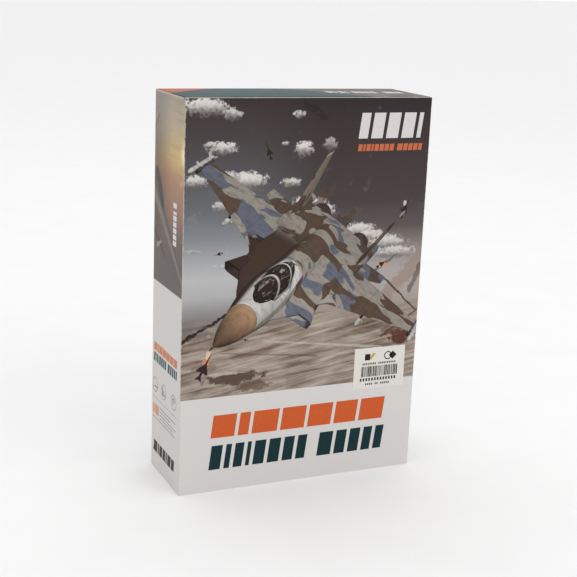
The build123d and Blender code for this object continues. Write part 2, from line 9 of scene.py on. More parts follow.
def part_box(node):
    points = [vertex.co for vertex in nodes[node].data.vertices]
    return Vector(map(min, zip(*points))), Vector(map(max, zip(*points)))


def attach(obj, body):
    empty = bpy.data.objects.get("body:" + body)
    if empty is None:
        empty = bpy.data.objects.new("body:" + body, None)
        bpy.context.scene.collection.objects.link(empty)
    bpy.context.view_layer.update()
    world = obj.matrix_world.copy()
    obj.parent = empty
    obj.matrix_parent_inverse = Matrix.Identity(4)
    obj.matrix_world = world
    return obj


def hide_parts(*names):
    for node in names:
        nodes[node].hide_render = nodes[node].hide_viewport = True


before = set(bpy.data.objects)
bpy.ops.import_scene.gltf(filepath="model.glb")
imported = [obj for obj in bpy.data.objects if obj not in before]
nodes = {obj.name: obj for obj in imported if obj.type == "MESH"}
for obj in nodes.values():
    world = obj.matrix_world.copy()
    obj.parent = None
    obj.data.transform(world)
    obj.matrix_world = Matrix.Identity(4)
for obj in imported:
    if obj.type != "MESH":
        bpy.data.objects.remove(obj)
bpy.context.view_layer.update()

# Looks of the boxed toy airplane. Lengths are millimetres in the row frame, and MM turns them into metres.
MM = 0.001
HALF_W, HALF_D, HEIGHT = 88.0, 30.0, 266.0
FRONT_Y, SIDE_X = -HALF_D, HALF_W
WHITE_BAND_TOP, SIDE_BAND_TOP = 67.6, 136.8
BACK_SKY_LOW, BACK_FOOT_TOP = 186.0, 18.0
JET_Y, JET_Z = 3.6, 16.0


# ---- colours and a short way to write shaders
def linear(c):
    c /= 255.0
    return c / 12.92 if c <= 0.04045 else ((c + 0.055) / 1.055) ** 2.4


def ink(r, g, b, gain=0.98, veil=0.006):
    """A printed colour, from its screen colour under the studio light. The veil is what varnish reflects."""
    return tuple(min(0.93, max(0.002, gain * linear(c) - veil)) for c in (r, g, b)) + (1.0,)


class Shader:
    """A material and short calls that add its nodes."""

    def __init__(self, name, **sockets):
        self.mat = bpy.data.materials.new(name)
        self.mat.use_nodes = True
        self.tree = self.mat.node_tree
        self.tree.nodes.clear()
        self.out = self.node("OutputMaterial")
        self.bsdf = self.node("BsdfPrincipled")
        self.tree.links.new(self.bsdf.outputs[0], self.out.inputs[0])
        for key, value in sockets.items():
            self.bsdf.inputs[key.replace("_", " ")].default_value = value

    def node(self, kind, **settings):
        made = self.tree.nodes.new("ShaderNode" + kind)
        for key, value in settings.items():
            setattr(made, key, value)
        return made

    def feed(self, socket, value):
        if isinstance(value, bpy.types.NodeSocket):
            self.tree.links.new(value, socket)
        else:
            socket.default_value = value

    def set(self, **sockets):
        for key, value in sockets.items():
            self.feed(self.bsdf.inputs[key.replace("_", " ")], value)
        return self

    def math(self, operation, a, b=0.0, c=0.0):
        made = self.node("Math", operation=operation)
        for socket, value in zip(made.inputs, (a, b, c)):
            self.feed(socket, value)
        return made.outputs[0]

    def vec(self, operation, a, b=(0.0, 0.0, 0.0), scale=1.0):
        made = self.node("VectorMath", operation=operation)
        self.feed(made.inputs[0], a)
        if operation == "SCALE":
            self.feed(made.inputs["Scale"], scale)
        else:
            self.feed(made.inputs[1], b)
        return made.outputs["Value" if operation in ("LENGTH", "DOT_PRODUCT") else "Vector"]

    def join(self, x, y, z=0.0):
        made = self.node("CombineXYZ")
        for socket, value in zip(made.inputs, (x, y, z)):
            self.feed(socket, value)
        return made.outputs[0]

    def split(self, vector):
        made = self.node("SeparateXYZ")
        self.feed(made.inputs[0], vector)
        return made.outputs[0], made.outputs[1], made.outputs[2]

    def point(self, attribute=None):
        """The place on the surface at rest, in millimetres."""
        if attribute:
            made = self.node("Attribute", attribute_name=attribute, attribute_type="GEOMETRY")
            return made.outputs["Vector"]
        return self.vec("SCALE", self.node("TexCoord").outputs["Object"], scale=1000.0)

    def noise(self, vector, scale, detail=3.0, rough=0.5, distort=0.0):
        made = self.node("TexNoise")
        for key, value in (("Vector", vector), ("Scale", scale), ("Detail", detail),
                           ("Roughness", rough), ("Distortion", distort)):
            self.feed(made.inputs[key], value)
        return made.outputs["Fac"]

    def warp(self, vector, scale, detail, rough, amount):
        """A small shift in every direction, which makes an outline uneven."""
        made = self.node("TexNoise")
        for key, value in (("Vector", vector), ("Scale", scale), ("Detail", detail), ("Roughness", rough)):
            self.feed(made.inputs[key], value)
        return self.vec("SCALE", self.vec("SUBTRACT", made.outputs["Color"], (0.5, 0.5, 0.5)), scale=amount)

    def step(self, value, low, high, out_low=0.0, out_high=1.0):
        """A smooth step from out_low to out_high as value goes from low to high."""
        made = self.node("MapRange", interpolation_type="SMOOTHSTEP")
        for socket, given in zip(made.inputs, (value, low, high, out_low, out_high)):
            self.feed(socket, given)
        return made.outputs[0]

    def mix(self, factor, a, b, blend="MIX"):
        made = self.node("Mix", data_type="RGBA", blend_type=blend)
        for index, value in ((0, factor), (6, a), (7, b)):
            self.feed(made.inputs[index], value)
        return made.outputs[2]

    def ramp(self, value, stops):
        """Colours at given places, blended smoothly between them. stops is [(place, colour)] from 0 to 1."""
        made = self.node("ValToRGB")
        elements = made.color_ramp.elements
        while len(elements) < len(stops):
            elements.new(0.5)
        for element, (place, colour) in zip(elements, stops):
            element.position = place
            element.color = colour
        self.feed(made.inputs[0], value)
        return made.outputs[0]

    def bump(self, height, strength, distance):
        made = self.node("Bump")
        self.feed(made.inputs["Height"], height)
        made.inputs["Strength"].default_value = strength
        made.inputs["Distance"].default_value = distance
        self.tree.links.new(made.outputs[0], self.bsdf.inputs["Normal"])

    def blob(self, flat, at, size, warp=None, edge=0.45):
        """1 inside a soft patch on the flat coordinates, 0 outside."""
        place = self.vec("MULTIPLY", self.vec("SUBTRACT", flat, (at[0], at[1], 0.0)),
                         (1.0 / size[0], 1.0 / size[1], 0.0))
        if warp is not None:
            place = self.vec("ADD", place, warp)
        return self.step(self.vec("LENGTH", place), 1.0, edge)

    def streak(self, flat, start, end, width_start, width_end, warp=None, edge=0.5):
        """1 along a line that tapers from one width to the other."""
        a, b = Vector((*start, 0.0)), Vector((*end, 0.0))
        along = b - a
        away = self.vec("SUBTRACT", flat, tuple(a))
        if warp is not None:
            away = self.vec("ADD", away, warp)
        share = self.math("DIVIDE", self.vec("DOT_PRODUCT", away, tuple(along)), along.length_squared)
        share = self.step_linear(share)
        foot = self.vec("SCALE", tuple(along), scale=share)
        gap = self.vec("LENGTH", self.vec("SUBTRACT", away, foot))
        width = self.math("MULTIPLY_ADD", share, width_end - width_start, width_start)
        return self.step(self.math("DIVIDE", gap, width), 1.0, edge)

    def step_linear(self, value):
        made = self.node("Clamp")
        self.feed(made.inputs[0], value)
        return made.outputs[0]

    def turned(self, vector, degrees):
        made = self.node("VectorRotate", rotation_type="Z_AXIS")
        self.feed(made.inputs["Vector"], vector)
        made.inputs["Angle"].default_value = math.radians(degrees)
        return made.outputs[0]


# ---- printed board
PAPER = ink(210, 207, 205)
BOARD_EDGE = ink(196, 190, 180)


def board_finish(m, point, colour, raw=None, worn_top=True):
    """Varnished print: faint fibre, small scuffs, worn creases, and pale raw board where raw is 1."""
    fibre = m.noise(point, 1.6, 4.0, 0.6)
    x, y, z = m.split(point)
    off_x = m.math("SUBTRACT", HALF_W, m.math("ABSOLUTE", x))
    off_y = m.math("SUBTRACT", HALF_D, m.math("ABSOLUTE", y))
    crease = m.math("MAXIMUM", off_x, off_y)
    crease = m.math("MULTIPLY_ADD", m.noise(point, 0.35, 4.0, 0.7), -1.5, crease)
    top = m.math("MULTIPLY_ADD", m.noise(point, 0.2, 4.0, 0.7), -2.0, m.math("SUBTRACT", HEIGHT, z))
    worn = m.step(crease, -0.32, -0.52)
    if worn_top:
        worn = m.math("MAXIMUM", worn, m.step(top, -0.75, -1.1))
    colour = m.mix(m.math("MULTIPLY", worn, 0.7), colour, BOARD_EDGE)
    scuff = m.step(m.noise(point, 0.09, 5.0, 0.62), 0.60, 0.72)
    colour = m.mix(m.math("MULTIPLY", scuff, 0.05), colour, ink(225, 222, 218))
    colour = m.mix(m.step(fibre, 0.3, 0.7, 0.0, 0.035), colour, (0.0, 0.0, 0.0, 1.0))
    if raw is not None:
        colour = m.mix(raw, colour, m.mix(m.step(fibre, 0.35, 0.65), BOARD_EDGE, ink(214, 209, 200)))
    m.set(Base_Color=colour, Roughness=m.step(fibre, 0.2, 0.8, 0.34, 0.46))
    m.bump(fibre, 0.12, 0.00006)
    return m.mat


def clouds(m, flat, colour, places, fine, warp, strength=1.0):
    """Puffs with lit tops and grey undersides."""
    for at, size, fade in places:
        puff = m.blob(flat, at, (size[0] * 1.4, size[1] * 1.6), warp, 0.1)
        rough = m.math("MULTIPLY_ADD", fine, 2.2, puff)
        ragged = m.step(m.math("MULTIPLY", rough, m.step(puff, 0.0, 0.3)), 1.36, 1.86)
        height = m.split(flat)[1]
        low, high = at[1] - size[1] * 0.6 + 3.6, at[1] + size[1] * 0.5 + 4.2
        lit = m.step(m.math("MULTIPLY_ADD", fine, 8.0, height), low, high)
        tone = m.mix(lit, ink(112, 105, 104), ink(214, 210, 205))
        colour = m.mix(m.math("MULTIPLY", ragged, fade * strength), colour, tone)
    return colour


FRONT_CLOUDS = [
    ((-75, 260.5), (19, 6.5), 1.0), ((-56, 256), (8, 4), 0.8), ((-10, 255.5), (5, 2.6), 0.95),
    ((-63, 234), (12, 4.6), 0.95), ((-70, 236.5), (6, 2.6), 0.8), ((-5.7, 233), (7.5, 5.4), 1.0),
    ((-19, 236.5), (3, 1.8), 0.7), ((13, 235.5), (6, 4.6), 0.5), ((-80, 213), (9, 4.4), 0.9),
    ((-46, 212.5), (17, 6.4), 1.0), ((-57, 216), (9, 4), 0.8), ((-14, 211), (8, 3.4), 0.9),
    ((-61, 197), (10, 4.6), 0.9), ((0, 196), (17, 6.2), 0.95), ((12, 191), (10, 4.4), 0.9),
    ((37, 176.5), (15, 5.4), 0.9), ((47, 172.5), (13, 4.2), 0.85), ((60, 167), (17, 5.8), 0.85),
    ((66, 160), (20, 4.6), 0.8), ((-82, 168), (7, 1.4), 0.35), ((-50, 157), (20, 2.2), 0.4),
]


def front_picture(m, point):
    """Sky over a dry plain, with clouds, smoke and distant fire."""
    x, _, z = m.split(point)
    flat = m.join(x, z)
    warp = m.warp(flat, 0.16, 5.0, 0.62, 1.5)
    fine = m.noise(flat, 0.42, 6.0, 0.66)
    share = m.math("DIVIDE", z, HEIGHT)
    left = m.ramp(share, [
        (0.40, ink(120, 112, 108)), (0.45, ink(124, 119, 117)), (0.48, ink(144, 142, 142)),
        (0.515, ink(172, 172, 172)), (0.56, ink(182, 182, 182)), (0.61, ink(160, 161, 163)),
        (0.66, ink(130, 134, 138)), (0.72, ink(106, 108, 112)), (0.80, ink(88, 86, 90)),
        (0.90, ink(72, 66, 66)), (1.0, ink(58, 50, 48)),
    ])
    right = m.ramp(share, [
        (0.44, ink(150, 136, 126)), (0.50, ink(166, 158, 154)), (0.56, ink(166, 159, 156)),
        (0.62, ink(132, 124, 120)), (0.67, ink(92, 84, 84)), (0.74, ink(72, 64, 65)),
        (0.90, ink(62, 54, 53)), (1.0, ink(50, 45, 44)),
    ])
    colour = m.mix(m.step(x, -52.0, 18.0), left, right)
    colour = clouds(m, flat, colour, FRONT_CLOUDS, fine, m.vec("SCALE", warp, scale=0.55))

    streaked = m.vec("MULTIPLY", m.turned(flat, -9.0), (0.022, 0.30, 1.0))
    stripes = m.noise(streaked, 1.0, 6.0, 0.62, 0.4)
    dunes = m.noise(m.vec("MULTIPLY", flat, (0.03, 0.07, 1.0)), 1.0, 4.0, 0.55, 0.8)
    ground = m.ramp(m.math("MULTIPLY_ADD", dunes, 0.35, m.math("MULTIPLY", stripes, 0.72)), [
        (0.36, ink(80, 63, 53)), (0.44, ink(116, 99, 87)), (0.52, ink(144, 130, 118)),
        (0.60, ink(166, 153, 141)), (0.70, ink(190, 180, 169)),
    ])
    for at, size, tone, fade in (
        ((-50, 80), (32, 7), (80, 62, 52), 0.9), ((-36, 73), (20, 5), (98, 80, 68), 0.8),
        ((-72, 88), (14, 5), (120, 104, 94), 0.6), ((76, 99), (15, 9), (86, 48, 37), 0.95),
        ((66, 104), (9, 6), (96, 62, 50), 0.7), ((-80, 112), (20, 6), (92, 84, 80), 0.6),
        ((-58, 83.5), (20, 1.6), (188, 178, 168), 0.7), ((-66, 76), (12, 1.4), (176, 164, 152), 0.6),
    ):
        patch = m.step(m.math("ADD", m.blob(flat, at, size, warp, 0.3), fine), 0.8, 1.25)
        ground = m.mix(m.math("MULTIPLY", patch, fade), ground, ink(*tone))
    horizon = m.step(m.math("ADD", z, m.math("MULTIPLY", m.step(x, -88.0, 88.0), -3.0)), 126.0, 106.0)
    colour = m.mix(horizon, colour, ground)

    for start, end, w0, w1, tone, fade in (
        ((-90, 107.0), (-57, 124.0), 2.4, 1.6, (38, 31, 28), 0.95),
        ((-6, 186), (14, 204), 12.0, 6.0, (84, 68, 60), 0.75),
        ((16, 182), (38, 190), 9.0, 3.0, (96, 80, 70), 0.6),
        ((8, 168), (28, 184), 12.0, 8.0, (74, 62, 56), 0.85),
        ((14, 176), (0, 190), 7.0, 4.0, (92, 78, 70), 0.7),
        ((62, 130), (90, 158), 7.0, 11.0, (150, 132, 122), 0.8),
        ((80, 132), (88, 150), 3.0, 4.0, (96, 76, 66), 0.7),
        ((52, 148), (68, 158), 1.6, 1.0, (92, 76, 70), 0.7),
        ((60, 100), (88, 118), 1.6, 1.2, (84, 62, 54), 0.8),
        ((60, 141), (86, 117), 1.3, 0.9, (66, 54, 48), 0.9),
        ((-88, 116), (20, 121), 1.2, 0.7, (104, 98, 96), 0.45),
        ((-30, 104), (60, 92), 0.9, 1.5, (196, 186, 174), 0.5),
        ((-60, 98), (10, 90), 0.7, 1.2, (92, 74, 62), 0.5),
        ((-6, 262), (10, 252), 4.0, 3.0, (44, 38, 36), 0.6),
    ):
        line = m.streak(flat, start, end, w0, w1, m.vec("SCALE", warp, scale=w0 * 1.6), 0.25)
        line = m.step(m.math("ADD", line, fine), 0.72, 1.3)
        colour = m.mix(m.math("MULTIPLY", line, fade), colour, ink(*tone))
    for at, size, tone, fade in (
        ((57, 151.5), (4.6, 2.6), (214, 138, 96), 0.95), ((56, 150.8), (1.8, 1.1), (240, 214, 190), 0.9),
        ((-71, 92), (4.0, 5.6), (206, 134, 104), 0.9), ((-69, 97), (3.0, 5.0), (218, 190, 168), 0.85),
        ((-72.5, 86.5), (3.6, 1.8), (226, 150, 120), 0.9), ((72, 194), (2.4, 3.2), (220, 210, 200), 0.7),
    ):
        flame = m.step(m.math("ADD", m.blob(flat, at, size, warp, 0.2), fine), 0.75, 1.2)
        colour = m.mix(m.math("MULTIPLY", flame, fade), colour, ink(*tone))
    return colour, z


def front_board():
    m = Shader("front_print", Specular_IOR_Level=0.16)
    point = m.point()
    colour, z = front_picture(m, point)
    colour = m.mix(m.step(z, WHITE_BAND_TOP - 0.08, WHITE_BAND_TOP + 0.08), PAPER, colour)
    y = m.split(point)[1]
    inside = m.step(y, FRONT_Y + 0.35, FRONT_Y + 0.5)
    raw = m.math("MAXIMUM", inside, m.step(z, HEIGHT - 0.35, HEIGHT - 0.1))
    return board_finish(m, point, colour, raw)


def side_picture(m, point, sign):
    """Low sun over haze behind a dark wing. s runs from the back edge to the front edge."""
    _, y, z = m.split(point)
    s = m.math("SUBTRACT", HALF_D, y)
    flat = m.join(s, z)
    warp = m.warp(m.vec("ADD", flat, (40.0 * sign, 0.0, 0.0)), 0.12, 4.0, 0.5, 1.6)
    fine = m.noise(flat, 0.3, 5.0, 0.6)
    share = m.math("DIVIDE", m.math("MULTIPLY_ADD", fine, 10.0, m.math("SUBTRACT", z, 5.0)), HEIGHT)
    back = m.ramp(share, [
        (0.52, ink(92, 85, 83)), (0.60, ink(94, 84, 78)), (0.68, ink(88, 74, 66)), (0.76, ink(98, 80, 66)),
        (0.82, ink(128, 102, 78)), (0.87, ink(122, 112, 96)), (0.93, ink(136, 128, 118)),
        (1.0, ink(138, 130, 126)),
    ])
    front = m.ramp(share, [
        (0.52, ink(90, 84, 84)), (0.60, ink(88, 80, 80)), (0.66, ink(104, 88, 80)), (0.72, ink(146, 110, 94)),
        (0.80, ink(168, 124, 98)), (0.85, ink(196, 164, 104)), (0.92, ink(178, 162, 134)),
        (1.0, ink(160, 150, 134)),
    ])
    colour = m.mix(m.step(s, 4.0, 44.0), back, front)
    colour = m.mix(m.blob(flat, (61, 228), (30, 24), warp, 0.0), colour, ink(196, 172, 116))
    colour = m.mix(m.blob(flat, (62, 230), (12, 11), None, 0.05), colour, ink(244, 232, 206))
    band = m.noise(m.vec("MULTIPLY", flat, (0.03, 0.25, 1.0)), 1.0, 4.0, 0.6)
    colour = m.mix(m.step(band, 0.5, 0.72, 0.0, 0.25), colour, ink(112, 96, 84))
    for start, end, w0, w1, tone in (
        ((0, 205), (62, 144), 7.0, 3.0, (84, 76, 72)), ((-2, 200), (60, 146), 4.6, 1.6, (120, 112, 104)),
        ((0, 173), (24, 158), 2.2, 1.4, (66, 56, 52)), ((8, 162), (16, 166), 2.4, 1.0, (142, 134, 128)),
        ((6, 212), (11, 206), 4.6, 4.2, (62, 50, 45)), ((13, 202), (18, 192), 5.0, 4.2, (58, 48, 44)),
        ((1, 240), (10, 251), 1.2, 0.6, (96, 86, 80)), ((22, 193), (34, 207), 1.3, 0.4, (126, 108, 96)),
    ):
        line = m.streak(flat, start, end, w0, w1, m.vec("SCALE", warp, scale=0.8), 0.6)
        colour = m.mix(m.math("MULTIPLY", line, 0.9), colour, ink(*tone))
    return colour, z


def side_board(name, sign):
    m = Shader(name, Specular_IOR_Level=0.16)
    point = m.point()
    colour, z = side_picture(m, point, sign)
    colour = m.mix(m.step(z, SIDE_BAND_TOP - 0.08, SIDE_BAND_TOP + 0.08), ink(204, 200, 197), colour)
    x = m.math("MULTIPLY", m.split(point)[0], float(sign))
    inside = m.step(x, SIDE_X - 0.3, SIDE_X - 0.45)
    return board_finish(m, point, colour, inside)


def back_board():
    m = Shader("back_print", Specular_IOR_Level=0.16)
    point = m.point()
    x, y, z = m.split(point)
    flat = m.join(x, z)
    fine = m.noise(flat, 0.3, 6.0, 0.65)
    sky = m.ramp(m.math("DIVIDE", z, HEIGHT), [
        (0.70, ink(176, 176, 175)), (0.78, ink(132, 134, 138)), (0.88, ink(92, 88, 90)),
        (1.0, ink(60, 53, 52)),
    ])
    drift = m.noise(m.vec("MULTIPLY", flat, (0.03, 0.09, 1.0)), 1.0, 6.0, 0.6, 0.6)
    sky = m.mix(m.step(drift, 0.5, 0.78, 0.0, 0.8), sky, ink(196, 191, 188))
    sky = m.mix(m.step(fine, 0.3, 0.7, 0.0, 0.06), sky, ink(40, 36, 34))
    colour = m.mix(m.step(z, BACK_SKY_LOW - 0.1, BACK_SKY_LOW + 0.1), PAPER, sky)
    colour = m.mix(m.step(z, BACK_FOOT_TOP + 0.1, BACK_FOOT_TOP - 0.1), colour, ink(34, 62, 66))
    inside = m.step(y, HALF_D - 0.35, HALF_D - 0.5)
    return board_finish(m, point, colour, inside)


def lid_board():
    """The lid: deep teal with an orange corner, fading to a grey-brown picture on the right."""
    m = Shader("lid_print", Specular_IOR_Level=0.06)
    point = m.point()
    x, y, _ = m.split(point)
    flat = m.join(x, y)
    fine = m.noise(flat, 0.05, 4.0, 0.5)
    colour = m.mix(m.step(fine, 0.3, 0.7), ink(18, 56, 58), ink(28, 70, 72))
    brown = m.mix(m.step(fine, 0.3, 0.7), ink(84, 77, 72), ink(112, 104, 97))
    colour = m.mix(m.step(m.math("MULTIPLY_ADD", y, 0.9, x), 18.0, 20.0), colour, brown)
    slant = m.math("MULTIPLY_ADD", y, -1.4, x)
    colour = m.mix(m.step(slant, -86.0, -87.0), colour, ink(176, 92, 52))
    side = m.node("Attribute", attribute_name="inside", attribute_type="GEOMETRY").outputs["Fac"]
    return board_finish(m, point, colour, side, worn_top=False)


def plain_board():
    m = Shader("plain_board", Roughness=0.72, Specular_IOR_Level=0.25)
    point = m.point()
    fibre = m.noise(point, 1.1, 6.0, 0.65)
    speck = m.step(m.noise(point, 2.6, 2.0, 0.5), 0.68, 0.76)
    colour = m.mix(m.step(fibre, 0.3, 0.7), ink(186, 181, 172), ink(204, 200, 192))
    colour = m.mix(m.math("MULTIPLY", speck, 0.35), colour, ink(140, 130, 118))
    m.set(Base_Color=colour, Roughness=m.step(fibre, 0.2, 0.8, 0.66, 0.8))
    m.bump(fibre, 0.3, 0.0001)
    return m.mat


def flat_ink(name, colour, rough=0.42, grain=0.05):
    """One printed ink with a slightly uneven lay-down."""
    m = Shader(name, Specular_IOR_Level=0.16)
    point = m.point()
    grain_map = m.noise(point, 0.7, 4.0, 0.6)
    darker = tuple(c * (1.0 - 2.2 * grain) for c in colour[:3]) + (1.0,)
    m.set(Base_Color=m.mix(m.step(grain_map, 0.3, 0.7), darker, colour),
          Roughness=m.step(grain_map, 0.2, 0.8, rough - 0.05, rough + 0.05))
    m.bump(grain_map, 0.08, 0.00004)
    return m.mat


# ---- toy materials
CAMO_LIGHT, CAMO_BROWN, CAMO_BLUE = ink(150, 143, 134), ink(90, 73, 61), ink(100, 103, 117)


def camouflage(m, point, scale=0.045):
    """Splinter-edged patches of light grey, blue-grey and brown."""
    where = m.vec("MULTIPLY", point, (1.0, 0.8, 1.0))
    patch = m.noise(where, scale, 2.0, 0.45, 0.8)
    other = m.noise(m.vec("ADD", where, (310.0, 70.0, 0.0)), scale, 2.0, 0.45, 0.8)
    colour = m.mix(m.step(patch, 0.56, 0.575), CAMO_LIGHT, CAMO_BLUE)
    return m.mix(m.step(other, 0.525, 0.54), colour, CAMO_BROWN)


def lines(m, value, pitch, width):
    """1 on thin lines at every pitch."""
    place = m.math("PINGPONG", value, pitch / 2)
    return m.step(place, width, width * 0.4)


def jet_paint(name, colour_of, metallic=0.0, seams=True, rough=0.4):
    m = Shader(name, Specular_IOR_Level=0.45, Metallic=metallic)
    point = m.point()
    x, _, z = m.split(point)
    colour = colour_of(m, point)
    grime = m.noise(m.vec("MULTIPLY", point, (1.0, 1.0, 0.35)), 0.35, 6.0, 0.65)
    colour = m.mix(m.step(grime, 0.42, 0.78, 0.0, 0.28), colour, ink(58, 52, 48))
    if seams:
        panel = m.math("MAXIMUM", lines(m, z, 17.0, 0.16), lines(m, x, 12.5, 0.16))
        colour = m.mix(m.math("MULTIPLY", panel, 0.55), colour, ink(48, 44, 42))
        m.bump(m.math("SUBTRACT", m.math("MULTIPLY", grime, 0.3), panel), 0.35, 0.00012)
    else:
        m.bump(grime, 0.15, 0.0001)
    m.set(Base_Color=colour, Roughness=m.step(grime, 0.2, 0.8, rough - 0.08, rough + 0.12))
    return m.mat


def two_tone(a, b, scale=0.2, detail=5.0):
    def colour_of(m, point):
        return m.mix(m.step(m.noise(point, scale, detail, 0.6), 0.35, 0.65), ink(*a), ink(*b))
    return colour_of


def banded(base, tone, *bands):
    """A base colour with rings of another between given heights."""
    def colour_of(m, point):
        z = m.split(point)[2]
        colour = two_tone(base, tuple(min(255, c + 10) for c in base))(m, point)
        for low, high in bands:
            ring = m.math("MULTIPLY", m.step(z, low, low + 0.1), m.step(z, high, high - 0.1))
            colour = m.mix(ring, colour, ink(*tone))
        return colour
    return colour_of


def radome_colour(m, point):
    z = m.split(point)[2]
    fade = m.step(z, 198.0, 238.0)
    return m.mix(fade, ink(132, 104, 80), ink(70, 52, 42))


def clear(name, tint, rough=0.05, weight=0.9):
    m = Shader(name, IOR=1.49, Specular_IOR_Level=0.5)
    point = m.point()
    haze = m.noise(point, 0.5, 4.0, 0.6)
    m.set(Base_Color=m.mix(m.step(haze, 0.3, 0.7), tint, tuple(0.92 * c for c in tint[:3]) + (1.0,)),
          Roughness=m.step(haze, 0.3, 0.8, rough, rough + 0.06))
    m.bsdf.inputs["Transmission Weight"].default_value = weight
    m.bump(haze, 0.05, 0.0001)
    return m.mat


def moulded(name, a, b, rough=0.45, bump=0.12, scale=1.2, **sockets):
    m = Shader(name, **sockets)
    point = m.point()
    grain = m.noise(point, scale, 5.0, 0.6)
    broad = m.noise(point, 0.05, 3.0, 0.5)
    colour = m.mix(m.step(broad, 0.3, 0.7), ink(*a), ink(*b))
    m.set(Base_Color=colour, Roughness=m.step(grain, 0.2, 0.8, rough - 0.06, rough + 0.08))
    m.bump(grain, bump, 0.00008)
    return m.mat


def tyre_rubber():
    m = Shader("tyre_rubber", Specular_IOR_Level=0.35)
    point = m.point()
    grain = m.noise(point, 3.0, 4.0, 0.6)
    colour = m.mix(grain, ink(30, 30, 31), ink(52, 51, 50))
    m.set(Base_Color=colour, Roughness=m.step(grain, 0.2, 0.8, 0.6, 0.82))
    m.bump(grain, 0.4, 0.0001)
    return m.mat


# ---- mesh helpers
def pairs(*stems):
    """The left and right node names of each stem."""
    return [f"{stem}_{side}" for stem in stems for side in ("left", "right")]


def place_object(name, data):
    made = bpy.data.objects.new(name, data)
    bpy.context.scene.collection.objects.link(made)
    return made


def add_object(name, verts, faces, material, body, smooth=False):
    mesh = bpy.data.meshes.new(name)
    mesh.from_pydata(verts, [], faces)
    mesh.materials.append(material)
    mesh.validate()
    if smooth:
        mesh.polygons.foreach_set("use_smooth", [True] * len(mesh.polygons))
    mesh.update()
    made = place_object(name, mesh)
    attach(made, body)
    return made


class Sheet:
    """Collects thin printed shapes that lie on one panel, then makes one object of them.
    to_row turns (across, up, height above the panel) in mm to a row-frame point in mm."""

    THICK = 0.02

    def __init__(self, to_row):
        self.to_row, self.verts, self.faces = to_row, [], []

    def polygon(self, outline, lift=0.0):
        """A closed thin plate with the given outline, anticlockwise seen from outside."""
        first, count = len(self.verts), len(outline)
        for height in (lift + self.THICK, lift):
            for u, v in outline:
                self.verts.append(Vector(self.to_row(u, v, height)) * MM)
        self.faces.append(list(range(first, first + count)))
        self.faces.append(list(range(first + 2 * count - 1, first + count - 1, -1)))
        for k in range(count):
            a, b = first + k, first + (k + 1) % count
            self.faces.append([a, a + count, b + count, b])

    def bar(self, u0, u1, v0, v1, slant=0.0, lift=0.0):
        self.polygon([(u0, v0), (u1, v0), (u1 + slant, v1), (u0 + slant, v1)], lift)

    def ring(self, u, v, radius, width, lift=0.0, count=40, start=0.0, sweep=360.0):
        """A ring, or part of one, as short plates."""
        for k in range(count):
            a, b = (math.radians(start + sweep * t / count) for t in (k, k + 1))
            inner = radius - width
            corners = ((radius, a), (radius, b), (inner, b), (inner, a))
            self.polygon([(u + r * math.cos(t), v + r * math.sin(t)) for r, t in corners], lift)

    def make(self, name, material, body="carton"):
        return add_object(name, self.verts, self.faces, material, body)


def on_front(u, v, height):
    return (u, FRONT_Y - 0.01 - height, v)


def on_left(u, v, height):
    """u runs from the back edge to the front edge of the left panel."""
    return (-SIDE_X - 0.01 - height, HALF_D - u, v)


def on_right(u, v, height):
    return (SIDE_X + 0.01 + height, -HALF_D + u, v)


def on_back(u, v, height):
    return (-u, HALF_D + 0.01 + height, v)


# ---- printed jet
# The picture's jet: its turn, the point it turns about, its scale, the eye's distance and its place on the
# front, all in mm and rounded from a fit to a few of its points; then the relief's depth and the light.
ART_POSE = Euler((math.radians(68), math.radians(5), math.radians(143))).to_matrix()
ART_CENTRE = Vector((0.0, 110.0, 0.0))
ART_SCALE, ART_EYE = 1.394, 872.0
ART_AT = (-13.1, 149.0)
ART_RELIEF = 0.12
ART_SUN = Vector((0.70, 0.60, 0.40)).normalized()


def triangles(source, limit):
    """Points, normals and triangles of a node's mesh, thinned to about the limit, in mm."""
    copy = bpy.data.objects.new("copy", source.data.copy())
    bpy.context.scene.collection.objects.link(copy)
    count = len(copy.data.polygons)
    if count > limit:
        thin = copy.modifiers.new("thin", "DECIMATE")
        thin.ratio = limit / count
    split = copy.modifiers.new("split", "EDGE_SPLIT")
    split.split_angle = math.radians(35)
    mesh = bpy.data.meshes.new_from_object(copy.evaluated_get(bpy.context.evaluated_depsgraph_get()))
    mesh.calc_loop_triangles()
    points = np.empty(len(mesh.vertices) * 3)
    normals = np.empty(len(mesh.vertices) * 3)
    corners = np.empty(len(mesh.loop_triangles) * 3, np.int64)
    mesh.vertices.foreach_get("co", points)
    mesh.vertices.foreach_get("normal", normals)
    mesh.loop_triangles.foreach_get("vertices", corners)
    bpy.data.objects.remove(copy)
    bpy.data.meshes.remove(mesh)
    return points.reshape(-1, 3) * 1000.0, normals.reshape(-1, 3), corners.reshape(-1, 3)


def to_jet(points):
    """Row-frame millimetres to the jet's own frame: starboard, forward, up."""
    return np.stack([points[:, 0], points[:, 2] - JET_Z, JET_Y - points[:, 1]], axis=1)


def ink_shade(name, colour_of, gloss=0.4):
    """Printed paint: a colour from the jet's own coordinates, times the shade of the picture's light."""
    m = Shader(name, Specular_IOR_Level=0.16)
    rest = m.point("jet_place")
    shade = m.node("Attribute", attribute_name="jet_shade", attribute_type="GEOMETRY").outputs["Fac"]
    colour = colour_of(m, rest)
    grime = m.noise(rest, 0.22, 6.0, 0.65)
    colour = m.mix(m.step(grime, 0.45, 0.75, 0.0, 0.35), colour, ink(70, 60, 54))
    shade = m.math("MULTIPLY", shade, m.step(grime, 0.2, 0.8, 1.1, 0.86))
    tint = m.join(shade, shade, shade)
    rough = m.step(grime, 0.2, 0.8, gloss - 0.04, gloss + 0.06)
    m.set(Base_Color=m.mix(1.0, colour, tint, "MULTIPLY"), Roughness=rough)
    return m.mat


